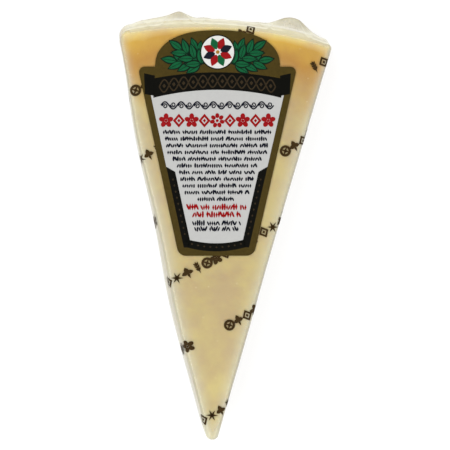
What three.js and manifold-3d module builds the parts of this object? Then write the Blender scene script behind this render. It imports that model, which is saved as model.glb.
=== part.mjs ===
// A wedge of hard cheese sealed in a clear shrink bag, with a die-cut label on its upper face.
//
// Millimetres. +Z points up out of the labelled face, +Y runs from the wedge's tip to its rind,
// and +X is to the right of someone who reads the label. The origin is under the middle of the
// part's box, on the surface that the pack lies on.
//
// Until the last step the planes of the wedge's two cuts meet at X = Y = 0.

import * as THREE from "three";
import { mergeVertices } from "three/addons/utils/BufferGeometryUtils.js";
import Module from "manifold-3d";

const wasm = await Module();
wasm.setup();

// The wedge. It is one slab of one slice of a wheel, and the bag is shrunk tight onto it.
const WHEEL_RADIUS = 181;
const WHEEL_AXIS = new THREE.Vector2(-6.3, 7.6); // the cuts missed the wheel's true middle
const HALF_ANGLE = THREE.MathUtils.degToRad(14);
const THICKNESS = 23;
const ROUNDING = 2.2; // of every edge and the right rind corner, pressed round by the bag
const SHARP = 0.2; // the rest of the outline's rounding, which the rounded rim leaves
const LEFT_ROUNDING = 4.9; // the left rind corner is the softest
const TIP_ROUNDING = 2.75;
const LEFT_BOW = 1.55; // how far each cut side bulges out of the straight; below 0 it is hollow
const LEFT_BOW_SKEW = 1.3; // above 1 puts the bulge nearer the rind than the tip
const LEFT_WAVE = 0.7; // the bulge grows and shrinks by this
const LEFT_WAVES = 2; // as often as this between tip and rind
const LEFT_WAVE_CREST = 0.32; // where it is largest, as a share of the way from the tip
const RIGHT_BOW = -0.5;
const RIGHT_BOW_SKEW = 1.9;
const LEFT_LEAN = 2.3; // how far the left side's foot stands out past its top
const LEAN_SKEW = 0.61; // below 1 puts the lean nearer the tip than the rind

// The bag's end: past its seal, a thin fin of doubled film stands out of the rind's wall.
const FIN_HEIGHT = 10; // of the fin's root above the underside
const FIN_THICKNESS = 0.9;
const FIN_ROOT_DEPTH = 3; // how far the fin starts inside the rind, to fuse with it
const FIN_REACH = 0.85; // past the rind, where it lies flattest
const FIN_SQUARENESS = 11; // 2 would round the fin off as an ellipse, and more fills its corners
// Ears of film that the shrinking left standing: place across the rind from -1 to 1, half width
// on the same scale, extra reach and lift. A flatness of 2 is a round ear, less is a pointed one
// and more has a flat top.
const EARS = [
  { place: -0.81, width: 0.23, reach: 1.1, lift: 0.9, flatness: 3.9 },
  { place: -0.497, width: 0.115, reach: 3.5, lift: 2.8, flatness: 1.7 },
  { place: 0.62, width: 0.17, reach: 5.1, lift: 4.1, flatness: 2.4 },
  { place: 0.84, width: 0.08, reach: 0.3, lift: 0.2, flatness: 4.4 },
];
// Its edge also rises and falls: by how much, how often along the rind, and from where
const RIPPLES = [
  { lift: 0.5, turns: 11, start: 0 },
  { lift: 0.3, turns: 23, start: 1 },
];

// The label, in its own frame: Y runs up the label from its foot.
const LABEL_HEIGHT = 96.4;
const LABEL_THICKNESS = 0.3;
const ADHESIVE_GAP = 0.05;
const SHOULDER_HALF_WIDTH = 33.6;
const SHOULDER_HEIGHT = 81;
const SIDE_TAPER = THREE.MathUtils.degToRad(12.25);
const LABEL_CORNER = 3;
const ARCH_HALF_WIDTH = 26.3;
const ARCH_FULLNESS = 2.35; // 2 would be half an ellipse, and more is fuller at both ends
const LABEL_TURN = THREE.MathUtils.degToRad(1.6); // stuck on a little askew
const LABEL_ASIDE = -2.4; // of its middle from the wedge's centre line
const LABEL_MIDDLE = 138.1; // of its middle from where the cuts meet

// How finely curves are cut into straight steps
const SIDE_STEPS = 24;
const RIND_STEPS = 28;
const CORNER_STEPS = 5;
const ROUNDING_STEPS = 5;
const WALL_STEPS = 3;
const ARCH_STEPS = 48;
const FIN_STEPS_ACROSS = 64;
const FIN_STEPS_OUT = 4;
const LABEL_CURVE_STEPS = 24;
const MERGE_DISTANCE = 1e-3; // between vertices that are the same one

const FILM = { color: 0xd2b982, roughness: 0.3, metalness: 0 };
const PRINTED_PAPER = { color: 0x4c3f28, roughness: 0.45, metalness: 0 };

// The point at `distance` from a centre, in a direction measured from +X.
const polar = (centre, distance, angle) =>
  new THREE.Vector2(Math.cos(angle), Math.sin(angle)).multiplyScalar(distance).add(centre);

// The points of an arc, both ends included.
function arc(centre, radius, from, to, steps) {
  return Array.from({ length: steps + 1 }, (_, i) =>
    polar(centre, radius, from + ((to - from) * i) / steps),
  );
}

// 0 at the tip and at the rind, and 1 once between them.
const swell = (share, skew) =>
  Math.sin(Math.PI * THREE.MathUtils.clamp(share, 0, 1) ** skew);

// How far each cut side bulges at a share of the way from the tip to the rind.
const leftBulge = (share) =>
  swell(share, LEFT_BOW_SKEW) *
  (LEFT_BOW + LEFT_WAVE * Math.cos(2 * Math.PI * LEFT_WAVES * (share - LEFT_WAVE_CREST)));
const rightBulge = (share) => RIGHT_BOW * swell(share, RIGHT_BOW_SKEW);

// The middle of the upright corner between the rind and a cut side, 1 for the right one and -1
// for the left: the point that is `rounding` inside both.
function rindCorner(hand, rounding) {
  const along = new THREE.Vector2(hand * Math.sin(HALF_ANGLE), Math.cos(HALF_ANGLE));
  const start = new THREE.Vector2(-along.y * hand, along.x * hand).multiplyScalar(rounding);
  const fromAxis = start.clone().sub(WHEEL_AXIS);
  const nearing = fromAxis.dot(along);
  const reach = (WHEEL_RADIUS - rounding) ** 2 - fromAxis.lengthSq();
  return start.addScaledVector(along, Math.sqrt(nearing ** 2 + reach) - nearing);
}

const RIGHT_CORNER = rindCorner(1, ROUNDING);
const LEFT_CORNER = rindCorner(-1, LEFT_ROUNDING);
// The directions of the two corners from the wheel's axis, measured from +X
const RIGHT_END = RIGHT_CORNER.clone().sub(WHEEL_AXIS).angle();
const LEFT_END = LEFT_CORNER.clone().sub(WHEEL_AXIS).angle();

// The outline of the wedge seen from above, drawn inside the true one by `inset`. Each upright
// corner is an arc round the point that is its rounding inside both of the sides that it joins.
function wedgeOutline(inset) {
  const tipY = TIP_ROUNDING / Math.sin(HALF_ANGLE);
  const facingRight = -HALF_ANGLE; // the direction that the right cut side faces
  const facingLeft = Math.PI + HALF_ANGLE;

  // Points strictly between the ends of a cut side, bowed out along the way it faces.
  const side = (from, to, facing, bulge) =>
    Array.from({ length: SIDE_STEPS - 1 }, (_, i) => {
      const point = from.clone().lerp(to, (i + 1) / SIDE_STEPS);
      return polar(point, bulge(point.length() / WHEEL_RADIUS), facing);
    });

  const tip = arc(
    new THREE.Vector2(0, tipY), TIP_ROUNDING - inset, facingLeft, 2 * Math.PI + facingRight,
    2 * CORNER_STEPS,
  );
  const right = arc(RIGHT_CORNER, ROUNDING - inset, facingRight, RIGHT_END, CORNER_STEPS);
  const rind = arc(WHEEL_AXIS, WHEEL_RADIUS - inset, RIGHT_END, LEFT_END, RIND_STEPS);
  const left = arc(LEFT_CORNER, LEFT_ROUNDING - inset, LEFT_END, facingLeft, CORNER_STEPS);
  return [
    ...tip,
    ...side(tip.at(-1), right[0], facingRight, rightBulge),
    ...right,
    ...rind.slice(1, -1),
    ...left,
    ...side(left.at(-1), tip[0], facingLeft, leftBulge),
  ];
}

// The wedge in its tight bag: the outline extruded with a round rim, then leant on its left side.
function wrappedWedge() {
  const rim = ROUNDING - SHARP;
  const geometry = new THREE.ExtrudeGeometry(new THREE.Shape(wedgeOutline(rim)), {
    depth: THICKNESS - 2 * rim,
    steps: WALL_STEPS,
    bevelEnabled: true,
    bevelThickness: rim,
    bevelSize: rim,
    bevelSegments: ROUNDING_STEPS,
  });
  geometry.translate(0, 0, rim);
  const position = geometry.getAttribute("position");
  for (let i = 0; i < position.count; i++) {
    const x = position.getX(i);
    const y = position.getY(i);
    const leftness = Math.max(0, -x) / (y * Math.tan(HALF_ANGLE));
    const footness = 1 - position.getZ(i) / THICKNESS;
    const lean = LEFT_LEAN * swell(Math.hypot(x, y) / WHEEL_RADIUS, LEAN_SKEW);
    position.setX(i, x - lean * footness * Math.min(1, leftness) ** 2);
  }
  return geometry;
}

// How much of an ear stands at a place across the rind: 1 at its middle and almost 0 two half
// widths away.
const earShare = (ear, place) =>
  Math.exp(-((Math.abs(place - ear.place) / ear.width) ** ear.flatness));

// The middle of the fin's film. `across` runs over the rind from -1 to 1 and `out` from the root
// inside the cheese, 0, to the free edge, 1.
function finMiddle(across, out) {
  const ears = (key) =>
    EARS.reduce((sum, ear) => sum + ear[key] * earShare(ear, across), 0);
  const ends = Math.sqrt(Math.max(0, 1 - Math.abs(across) ** FIN_SQUARENESS));
  const reach = (FIN_REACH + ears("reach")) * ends;
  const radius = WHEEL_RADIUS - FIN_ROOT_DEPTH + (FIN_ROOT_DEPTH + reach) * out;
  const ripple = RIPPLES.reduce(
    (sum, { lift, turns, start }) => sum + lift * Math.sin(turns * across + start), 0,
  );
  const height = FIN_HEIGHT + (ears("lift") + ripple) * out ** 2;
  const angle = THREE.MathUtils.lerp(LEFT_END, RIGHT_END, (across + 1) / 2);
  const { x, y } = polar(WHEEL_AXIS, radius, angle);
  return new THREE.Vector3(x, y, height);
}

// A closed slab round a sheet: the sheet's points moved down and up by half its thickness.
function slab(columns, rows, point, thickness) {
  const vertices = [];
  const triangles = [];
  const quad = (a, b, c, d) => triangles.push(a, b, c, a, c, d);
  for (const shift of [-thickness / 2, thickness / 2])
    for (let row = 0; row <= rows; row++)
      for (let column = 0; column <= columns; column++) {
        const p = point((2 * column) / columns - 1, row / rows);
        vertices.push(p.x, p.y, p.z + shift);
      }
  const wide = columns + 1;
  const upper = wide * (rows + 1);
  for (let row = 0; row < rows; row++)
    for (let column = 0; column < columns; column++) {
      const at = row * wide + column;
      quad(at, at + wide, at + wide + 1, at + 1);
      quad(upper + at, upper + at + 1, upper + at + wide + 1, upper + at + wide);
    }
  for (let column = 0; column < columns; column++) {
    const far = rows * wide + column;
    quad(column, column + 1, upper + column + 1, upper + column);
    quad(far + 1, far, upper + far, upper + far + 1);
  }
  for (let row = 0; row < rows; row++) {
    const first = row * wide;
    const last = first + columns;
    quad(first + wide, first, upper + first, upper + first + wide);
    quad(last, last + wide, upper + last + wide, upper + last);
  }
  const geometry = new THREE.BufferGeometry();
  geometry.setAttribute("position", new THREE.Float32BufferAttribute(vertices, 3));
  geometry.setIndex(triangles);
  return geometry;
}

// A closed geometry as a manifold-3d solid, with the vertices that its faces share merged.
function solid(geometry) {
  const bare = new THREE.BufferGeometry();
  bare.setAttribute("position", geometry.getAttribute("position"));
  bare.setIndex(geometry.getIndex());
  const merged = mergeVertices(bare, MERGE_DISTANCE);
  return new wasm.Manifold(
    new wasm.Mesh({
      numProp: 3,
      vertProperties: merged.getAttribute("position").array,
      triVerts: new Uint32Array(merged.getIndex().array),
    }),
  );
}

// Two closed geometries joined into one.
function fused(first, second) {
  const mesh = solid(first).add(solid(second)).getMesh();
  const geometry = new THREE.BufferGeometry();
  geometry.setAttribute("position", new THREE.BufferAttribute(mesh.vertProperties, 3));
  geometry.setIndex(new THREE.BufferAttribute(mesh.triVerts, 1));
  return geometry;
}

// The label's outline: tapered sides between a round-cornered foot and shoulders, under an arch.
function labelShape() {
  const footHalfWidth = SHOULDER_HALF_WIDTH - SHOULDER_HEIGHT * Math.tan(SIDE_TAPER);
  const corner = LABEL_CORNER;
  const slantX = corner * Math.sin(SIDE_TAPER);
  const slantY = corner * Math.cos(SIDE_TAPER);
  const shape = new THREE.Shape();
  shape.moveTo(-footHalfWidth + corner, 0);
  shape.lineTo(footHalfWidth - corner, 0);
  shape.quadraticCurveTo(footHalfWidth, 0, footHalfWidth + slantX, slantY);
  shape.lineTo(SHOULDER_HALF_WIDTH - slantX, SHOULDER_HEIGHT - slantY);
  shape.quadraticCurveTo(
    SHOULDER_HALF_WIDTH, SHOULDER_HEIGHT, SHOULDER_HALF_WIDTH - corner, SHOULDER_HEIGHT,
  );
  for (let i = 0; i <= ARCH_STEPS; i++) {
    const turn = (Math.PI * i) / ARCH_STEPS;
    const across = Math.abs(Math.cos(turn)) ** (2 / ARCH_FULLNESS) * Math.sign(Math.cos(turn));
    const up = Math.abs(Math.sin(turn)) ** (2 / ARCH_FULLNESS);
    const rise = LABEL_HEIGHT - SHOULDER_HEIGHT;
    shape.lineTo(ARCH_HALF_WIDTH * across, SHOULDER_HEIGHT + rise * up);
  }
  shape.lineTo(-SHOULDER_HALF_WIDTH + corner, SHOULDER_HEIGHT);
  shape.quadraticCurveTo(
    -SHOULDER_HALF_WIDTH, SHOULDER_HEIGHT,
    -SHOULDER_HALF_WIDTH + slantX, SHOULDER_HEIGHT - slantY,
  );
  shape.lineTo(-footHalfWidth - slantX, slantY);
  shape.quadraticCurveTo(-footHalfWidth, 0, -footHalfWidth + corner, 0);
  return shape;
}

function label() {
  const geometry = new THREE.ExtrudeGeometry(labelShape(), {
    depth: LABEL_THICKNESS,
    curveSegments: LABEL_CURVE_STEPS,
    bevelEnabled: false,
  });
  geometry.translate(0, -LABEL_HEIGHT / 2, 0);
  return geometry;
}

function piece(name, geometry, finish) {
  const mesh = new THREE.Mesh(geometry, new THREE.MeshStandardMaterial(finish));
  mesh.name = name;
  return mesh;
}

const fin = slab(FIN_STEPS_ACROSS, FIN_STEPS_OUT, finMiddle, FIN_THICKNESS);
const packMesh = piece("film_wrapped_wedge", fused(wrappedWedge(), fin), FILM);

const labelMesh = piece("label", label(), PRINTED_PAPER);
labelMesh.position.set(LABEL_ASIDE, LABEL_MIDDLE, THICKNESS + ADHESIVE_GAP);
labelMesh.rotation.z = LABEL_TURN;

// Moves the whole pack so that the middle of its box is over the origin.
const pack = new THREE.Group();
pack.add(packMesh, labelMesh);
const box = new THREE.Box3().setFromObject(pack);
const middle = box.getCenter(new THREE.Vector3());
for (const mesh of pack.children)
  mesh.position.add(new THREE.Vector3(-middle.x, -middle.y, -box.min.z));

export default pack;
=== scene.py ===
"""A wedge of parmesan sealed in a printed shrink bag, with a die-cut label on its upper face."""

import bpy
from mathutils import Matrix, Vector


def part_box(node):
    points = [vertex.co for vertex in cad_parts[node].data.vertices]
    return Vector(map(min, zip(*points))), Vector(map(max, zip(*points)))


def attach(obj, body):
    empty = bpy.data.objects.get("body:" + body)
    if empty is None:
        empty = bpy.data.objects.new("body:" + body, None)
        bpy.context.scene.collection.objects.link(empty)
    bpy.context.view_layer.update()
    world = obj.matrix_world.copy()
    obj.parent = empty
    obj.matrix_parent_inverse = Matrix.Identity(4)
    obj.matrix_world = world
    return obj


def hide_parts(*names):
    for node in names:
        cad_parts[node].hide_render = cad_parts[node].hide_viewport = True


bl_info = {
    "name": "Parmesan Wedge in a Shrink Bag",
    "version": (1, 0, 0),
    "blender": (4, 5, 0),
    "location": "View3D > Sidebar > Cheese",
    "description": "Models a wedge of aged cheese, its printed shrink bag and its label",
    "category": "Object",
}

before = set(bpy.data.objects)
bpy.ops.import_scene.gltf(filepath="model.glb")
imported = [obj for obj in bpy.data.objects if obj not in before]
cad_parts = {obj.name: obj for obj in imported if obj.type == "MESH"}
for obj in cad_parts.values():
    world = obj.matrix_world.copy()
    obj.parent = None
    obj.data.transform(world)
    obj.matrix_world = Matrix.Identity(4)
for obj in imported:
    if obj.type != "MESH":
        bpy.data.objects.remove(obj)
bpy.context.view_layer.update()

import itertools
import math
import random

import bmesh
import bpy
from bpy.props import FloatProperty, FloatVectorProperty, IntProperty, PointerProperty
from mathutils import Matrix, Vector
from mathutils.bvhtree import BVHTree

MM = 0.001
# Two points closer than this count as one
NEAR = 0.001 * MM
WEDGE = "film_wrapped_wedge"
LABEL = "label"
WEDGE_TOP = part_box(WEDGE)[1].z
LABEL_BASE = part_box(LABEL)[0].z

# Which sockets of a Mix node hold its two colours and its result
MIX_A, MIX_B, MIX_RESULT = 6, 7, 2

# The label's paper, the ink on it and the step up from one layer of ink to the next. Each layer
# starts a little inside the one below it, and all are thicker than real ones, to stay apart.
LABEL_PAPER = 0.15 * MM
INK_THICKNESS = 0.03 * MM
LAYER_STEP = 0.02 * MM
LAYER_OVERLAP = 0.01 * MM

# The soft hills of the wedge's upper face, and so of the label on it
HILL_PITCH = 42 * MM
HILL_HEIGHT = 0.5 * MM


def linear(colour):
    """An sRGB hex colour, such as "#D4A85C", as the linear numbers that shaders take."""
    channels = [int(colour[i : i + 2], 16) / 255 for i in (1, 3, 5)]
    return [c / 12.92 if c <= 0.04045 else ((c + 0.055) / 1.055) ** 2.4 for c in channels]


def length(name, description, default):
    """A setting in metres."""
    return FloatProperty(name=name, description=description, default=default, unit="LENGTH")


def number(name, description, default):
    """A setting that is a plain number."""
    return FloatProperty(name=name, description=description, default=default)


def angle(name, description, degrees):
    """A setting that is an angle."""
    return FloatProperty(
        name=name, description=description, default=math.radians(degrees),
        subtype="ANGLE", unit="ROTATION",
    )


def colour(name, description, default):
    """A setting that is a colour."""
    return FloatVectorProperty(
        name=name, description=description, default=linear(default),
        subtype="COLOR", size=3, min=0, max=1,
    )


# ---- Settings


class CheeseSettings(bpy.types.PropertyGroup):
    """The wedge. Its two cuts would meet at the crossing, 8.6 mm before the rounded tip."""

    wheel_radius: length("Wheel radius", "Radius of the wheel's rind", 181 * MM)
    axis_aside: length("Axis aside", "Wheel's axis to the right of the crossing", -6.3 * MM)
    axis_along: length("Axis along", "Wheel's axis past the crossing, to the rind", 7.6 * MM)
    half_angle: angle("Half angle", "Half the angle between the two cuts", 14)
    thickness: length("Thickness", "From the underside to the labelled face", WEDGE_TOP)
    rounding: length("Rounding", "Radius of every edge, pressed round by the bag", 2.2 * MM)
    left_rounding: length("Left rounding", "Radius of the rind's left upright corner", 4.9 * MM)
    tip_rounding: length("Tip rounding", "Radius of the upright corner at the tip", 2.75 * MM)
    left_bow: length("Left bow", "How far the left cut bulges", 1.55 * MM)
    left_bow_skew: number("Left bow skew", "Above 1, the bulge is nearer the rind", 1.3)
    left_wave: length("Left wave", "How much the left bulge grows and shrinks", 0.7 * MM)
    left_waves: IntProperty(
        name="Left waves", description="How often it does so, from tip to rind", default=2
    )
    left_wave_crest: number("Left wave crest", "Where it is largest, from tip to rind", 0.32)
    right_bow: length("Right bow", "How far the right cut bulges; below 0 it is hollow", -0.5 * MM)
    right_bow_skew: number("Right bow skew", "Above 1, the hollow is nearer the rind", 1.9)
    left_lean: length("Left lean", "How far the left side's foot stands out", 2.3 * MM)
    lean_skew: number("Lean skew", "Below 1, the lean is nearer the tip", 0.61)
    under_film: length("Under film", "Air between cheese and film", 0.35 * MM)
    rind: colour("Rind", "The dry outside of the wheel", "#CDBB78")
    ripe: colour("Ripe", "Paste 4.5 mm under the rind", "#B8943A")
    gold: colour("Gold", "Paste 12 mm under the rind", "#A57B33")
    straw: colour("Straw", "Paste from 33 mm under the rind", "#AE9E6A")
    heart: colour("Heart", "Paste at the tip", "#B5A56D")
    blotch: colour("Blotch", "Shade of the pinker patches", "#F0E9FF")
    # A painted highlight: the pale colour that the rounded edges of the cuts are painted with
    painted_edge_highlight: colour("Painted highlight", "Dry edges of the cuts", "#D4D0B6")
    crystal: colour("Crystal", "Specks of crystal in the paste", "#D8CDA8")


class FilmSettings(bpy.types.PropertyGroup):
    """The shrink bag and what is printed on it."""

    fin_height: length("Fin height", "Of the seal above the underside", 10 * MM)
    fin_reach: length("Fin reach", "Of the seal past the rind", 0.85 * MM)
    fin_squareness: number("Fin squareness", "2 rounds its ends as an ellipse, more fills them", 11)
    slack: colour("Slack", "Milk of the film on the rind's wall and at the tip", "#DBD8BE")
    taut: colour("Taut", "Milk of the film along the cuts and in its ears", "#C2BFAC")
    seal: colour("Seal", "Welded edge of the film", "#A9A58E")
    ink: colour("Ink", "Ink on the film", "#33240B")
    repeat: length("Repeat", "Between two groups in a row", 45.4 * MM)
    slope: angle("Slope", "Of the rows, rising to the right", 30)
    motif_height: length("Motif height", "Height of one printed shape", 5.3 * MM)
    motif_pitch: length("Motif pitch", "Between two shapes in a group", 4.4 * MM)
    bold_stroke: length("Bold stroke", "Line of the bold groups", 1.05 * MM)
    fine_stroke: length("Fine stroke", "Line of the fine groups", 1.05 * MM)


class LabelSettings(bpy.types.PropertyGroup):
    """The label, measured from the middle of its foot."""

    height: length("Height", "From the foot to the top of the arch", 96.4 * MM)
    shoulder_height: length("Shoulder height", "From the foot to the shoulders", 81 * MM)
    shoulder_half_width: length("Shoulder half width", "At the shoulders", 33.6 * MM)
    taper: angle("Taper", "Of the sides from upright", 12.25)
    corner: length("Corner", "Rounding of the four corners", 3 * MM)
    arch_half_width: length("Arch half width", "Of the arch over the shoulders", 26.3 * MM)
    arch_fullness: number("Arch fullness", "2 is half an ellipse, more is fuller at its ends", 2.35)
    turn: angle("Turn", "How far the label is stuck on askew", 1.6)
    aside: length("Aside", "Label's middle from the wedge's centre line", -2.4 * MM)
    along: length("Along", "Label's middle from the crossing", 138.1 * MM)
    margin: length("Margin", "Bronze border round the print", 2.9 * MM)
    bronze: colour("Bronze", "The label's ground", "#3B3010")
    black: colour("Black", "Band and frame", "#050502")
    paper: colour("Paper", "The pale panel", "#A3A3A1")
    navy: colour("Navy", "Small print", "#12131D")
    red: colour("Red", "Headline ornament", "#7E0E12")
    green: colour("Green", "Leaves", "#0D4C2C")
    deep_green: colour("Deep green", "Outline of the leaves", "#06150E")
    cream: colour("Cream", "The medallion", "#BDBDB9")
    gold: colour("Gold", "Ornament on the black band", "#2D2417")
    ochre: colour("Ochre", "Heart of the medallion's flower", "#8A6420")


class StageSettings(bpy.types.PropertyGroup):
    """Camera, floor and lights."""

    aim_aside: length("Aim aside", "Camera's aim to the right of the crossing", 2.75 * MM)
    aim_along: length("Aim along", "Camera's aim past the crossing", 101.312 * MM)
    aim_height: length("Aim height", "Camera's aim above the floor", 12 * MM)
    distance: length("Distance", "From the aim to the camera", 1.2)
    tilt_aside: angle("Tilt aside", "Camera's lean to the left of overhead", 3.01)
    tilt_along: angle("Tilt along", "Camera's lean towards the rind", 10.158)
    roll: angle("Roll", "Camera's turn about its own axis", 2.024)
    lens: number("Lens", "Focal length on a 36 mm sensor, mm", 223.7)
    floor: colour("Floor", "The pale table", "#8C8C8C")
    floor_glow: number("Floor glow", "Light that comes up through the table", 0.72)
    floor_size: length("Floor size", "Width of the table", 6.0)
    lamp_aside: length("Lamp aside", "From the wedge's middle to under a lamp", 0.9)
    lamp_height: length("Lamp height", "Of a lamp above the table", 1.0)
    lamp_width: length("Lamp width", "Of a lamp's square", 0.9)


def crossing():
    """Where the planes of the two cuts meet on the underside, found from the frame's tip."""
    cheese = bpy.context.scene.cheese_wedge
    tip = min((v.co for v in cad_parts[WEDGE].data.vertices), key=lambda co: co.y)
    before_tip = cheese.tip_rounding / math.sin(cheese.half_angle) - cheese.tip_rounding
    return Vector((tip.x, tip.y - before_tip, 0))


# ---- Modelling by hand, in edit mode


def deselect():
    """Leaves edit mode and selects nothing."""
    if bpy.context.mode != "OBJECT":
        bpy.ops.object.mode_set(mode="OBJECT")
    bpy.ops.object.select_all(action="DESELECT")


def pick(*objects):
    """Selects these objects alone; the first is the active one."""
    deselect()
    for obj in objects:
        obj.select_set(True)
    bpy.context.view_layer.objects.active = objects[0]


def edit(obj):
    """Opens one object in edit mode."""
    pick(obj)
    bpy.ops.object.mode_set(mode="EDIT")


def select_where(kind, test):
    """In edit mode, selects the VERT, EDGE or FACE elements that pass a test."""
    bpy.ops.mesh.select_mode(type=kind)
    bpy.ops.mesh.select_all(action="DESELECT")
    mesh = bmesh.from_edit_mesh(bpy.context.edit_object.data)
    elements = {"VERT": mesh.verts, "EDGE": mesh.edges, "FACE": mesh.faces}[kind]
    for element in elements:
        element.select_set(test(element))
    bmesh.update_edit_mesh(bpy.context.edit_object.data)


def extrude_to(point):
    """In edit mode, draws an edge from the selected vertex to a point."""
    mesh = bmesh.from_edit_mesh(bpy.context.edit_object.data)
    here = next(v.co for v in mesh.verts if v.select)
    bpy.ops.mesh.extrude_vertices_move(TRANSFORM_OT_translate={"value": point - here})


def turn_about(centre, start, end, steps):
    """In edit mode, spins the selected vertex counter-clockwise from one direction to another."""
    bpy.ops.mesh.spin(steps=steps, angle=start - end, center=centre, axis=(0, 0, 1))


def cut(place, normal):
    """In edit mode, cuts the whole mesh by a plane."""
    bpy.ops.mesh.select_all(action="SELECT")
    bpy.ops.mesh.bisect(plane_co=place, plane_no=normal)


def slice_across(axis, low, high, pitch):
    """In edit mode, cuts the whole mesh by planes across an axis, at most `pitch` apart."""
    normal = [0, 0, 0]
    normal[axis] = 1
    count = math.ceil((high - low) / pitch)
    for i in range(1, count):
        place = [0, 0, 0]
        place[axis] = low + (high - low) * i / count
        cut(place, normal)


def reshape(obj, move):
    """Moves each vertex of a mesh to where `move` puts it."""
    for vertex in obj.data.vertices:
        vertex.co = move(vertex.co, vertex.normal)
    obj.data.update()


def modify(obj, kind, **settings):
    """Gives an object a modifier with these settings, and applies it."""
    pick(obj)
    bpy.ops.object.modifier_add(type=kind)
    modifier = obj.modifiers[-1]
    for name, value in settings.items():
        setattr(modifier, name, value)
    bpy.ops.object.modifier_apply(modifier=modifier.name)


def refine(obj, levels):
    """Splits every face into smaller ones without rounding the shape."""
    modify(obj, "SUBSURF", subdivision_type="SIMPLE", levels=levels, render_levels=levels)


def thicken(obj, thickness):
    """Gives a sheet its thickness, which it gains above."""
    modify(obj, "SOLIDIFY", thickness=thickness, offset=1)


def relief(obj, pitch, height, direction="NORMAL"):
    """Raises soft hills about `pitch` across. Where there is a vertex group, it says how far each
    point is free to move."""
    texture = bpy.data.textures.new("hills", "CLOUDS")
    texture.noise_scale = pitch
    texture.noise_depth = 1
    group = obj.vertex_groups[0].name if obj.vertex_groups else ""
    modify(
        obj, "DISPLACE", texture=texture, texture_coords="LOCAL", direction=direction,
        strength=height, mid_level=0.5, vertex_group=group,
    )


def ease(value, low, high):
    """0 up to `low`, 1 from `high` and a smooth climb between, or a fall where low is above high."""
    share = min(1, max(0, (value - low) / (high - low)))
    return share * share * (3 - 2 * share)


def swell(share, skew):
    """0 at the tip and at the rind, and 1 once between them."""
    return math.sin(math.pi * min(1, max(0, share)) ** skew)


def bulges(share):
    """How far the left and the right cut bulge, a share of the way from the tip to the rind."""
    cheese = bpy.context.scene.cheese_wedge
    turns = cheese.left_waves * (share - cheese.left_wave_crest)
    wave = cheese.left_wave * math.cos(2 * math.pi * turns)
    left = (cheese.left_bow + wave) * swell(share, cheese.left_bow_skew)
    return left, cheese.right_bow * swell(share, cheese.right_bow_skew)


# ---- The wedge's own geometry, in metres from the crossing

# Straight steps in the arcs of the wedge's outline
RIGHT_STEPS, RIND_STEPS, LEFT_STEPS, TIP_STEPS = 8, 40, 12, 16
# Size of the faces of the wedge and its film, before each is split into 16
WEDGE_PITCH = 5 * MM
# How far the rounded rim stops short of the corners' own arcs, so that they don't close up
RIM_SPARE = 0.2 * MM
# From which share of the way from the centre line to a cut its bow is felt, and felt fully
BOW_FROM, BOW_FULL = 0.4, 0.85

# The pale border of the upper face along the cuts, a painted highlight of the rounded rims in the
# paste's colour and partly in the film's milk: how far it reaches in halfway up the wedge and by
# the tip, and between which shares of the way from tip to rind it changes
BORDER_MIDDLE, BORDER_BY_TIP = 2.9 * MM, 2.1 * MM
TIP_ENDS, TIP_STARTS = 0.25, 0.1
RIND_STARTS, RIND_ENDS = 0.73, 0.95
# By the rind the cheese's painted highlight border and the film's milky border differ. Both fade
# by this power.
PAINTED_HIGHLIGHT_BY_RIND, MILKY_BY_RIND = 2 * MM, 1.8 * MM
BORDER_FADING = 1.5
# How far the paste's colour turns to the painted edge highlight on the edge itself
PAINTED_HIGHLIGHT_SHARE = 0.62


def rind_corner(hand):
    """The middle of the upright corner between rind and cut, 1 for right and -1 for left."""
    cheese = bpy.context.scene.cheese_wedge
    axis = Vector((cheese.axis_aside, cheese.axis_along))
    along = Vector((hand * math.sin(cheese.half_angle), math.cos(cheese.half_angle)))
    rounding = cheese.rounding if hand > 0 else cheese.left_rounding
    start = Vector((-along.y * hand, along.x * hand)) * rounding
    from_axis = start - axis
    nearing = from_axis.dot(along)
    reach = (cheese.wheel_radius - rounding) ** 2 - from_axis.length_squared
    return start + along * (math.sqrt(nearing**2 + reach) - nearing)


def rind_ends():
    """The directions of the right and left rind corners from the wheel's axis."""
    cheese = bpy.context.scene.cheese_wedge
    axis = Vector((cheese.axis_aside, cheese.axis_along))
    corners = [rind_corner(hand) - axis for hand in (1, -1)]
    return [math.atan2(c.y, c.x) for c in corners]


def from_rind_axis(point):
    """A point's distance from the wheel's axis, and its place along the rind from -1 to 1."""
    cheese = bpy.context.scene.cheese_wedge
    x = point.x - cheese.axis_aside
    y = point.y - cheese.axis_along
    right, left = rind_ends()
    return math.hypot(x, y), 1 - 2 * (math.atan2(y, x) - right) / (left - right)


def from_sides(point):
    """How far a point lies outside the nearer cut; less than 0 is inside."""
    cheese = bpy.context.scene.cheese_wedge
    return abs(point.x) * math.cos(cheese.half_angle) - point.y * math.sin(cheese.half_angle)


def inside_cuts(point):
    """How far a point lies inside the nearer bowed cut; 0 on its wall."""
    cheese = bpy.context.scene.cheese_wedge
    left, right = bulges(math.hypot(point.x, point.y) / cheese.wheel_radius)
    return max(0, (left if point.x < 0 else right) - from_sides(point))


def border_strength(point, away, by_rind):
    """How strong the pale border, a painted highlight of the rounded rims, is at a point that lies
    `away` from an edge: 1 on the edge itself.
    """
    share = point.length / bpy.context.scene.cheese_wedge.wheel_radius
    width = BORDER_MIDDLE + (by_rind - BORDER_MIDDLE) * ease(share, RIND_STARTS, RIND_ENDS)
    width += (BORDER_BY_TIP - BORDER_MIDDLE) * ease(share, TIP_ENDS, TIP_STARTS)
    return math.exp(-((away / width) ** BORDER_FADING))


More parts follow.
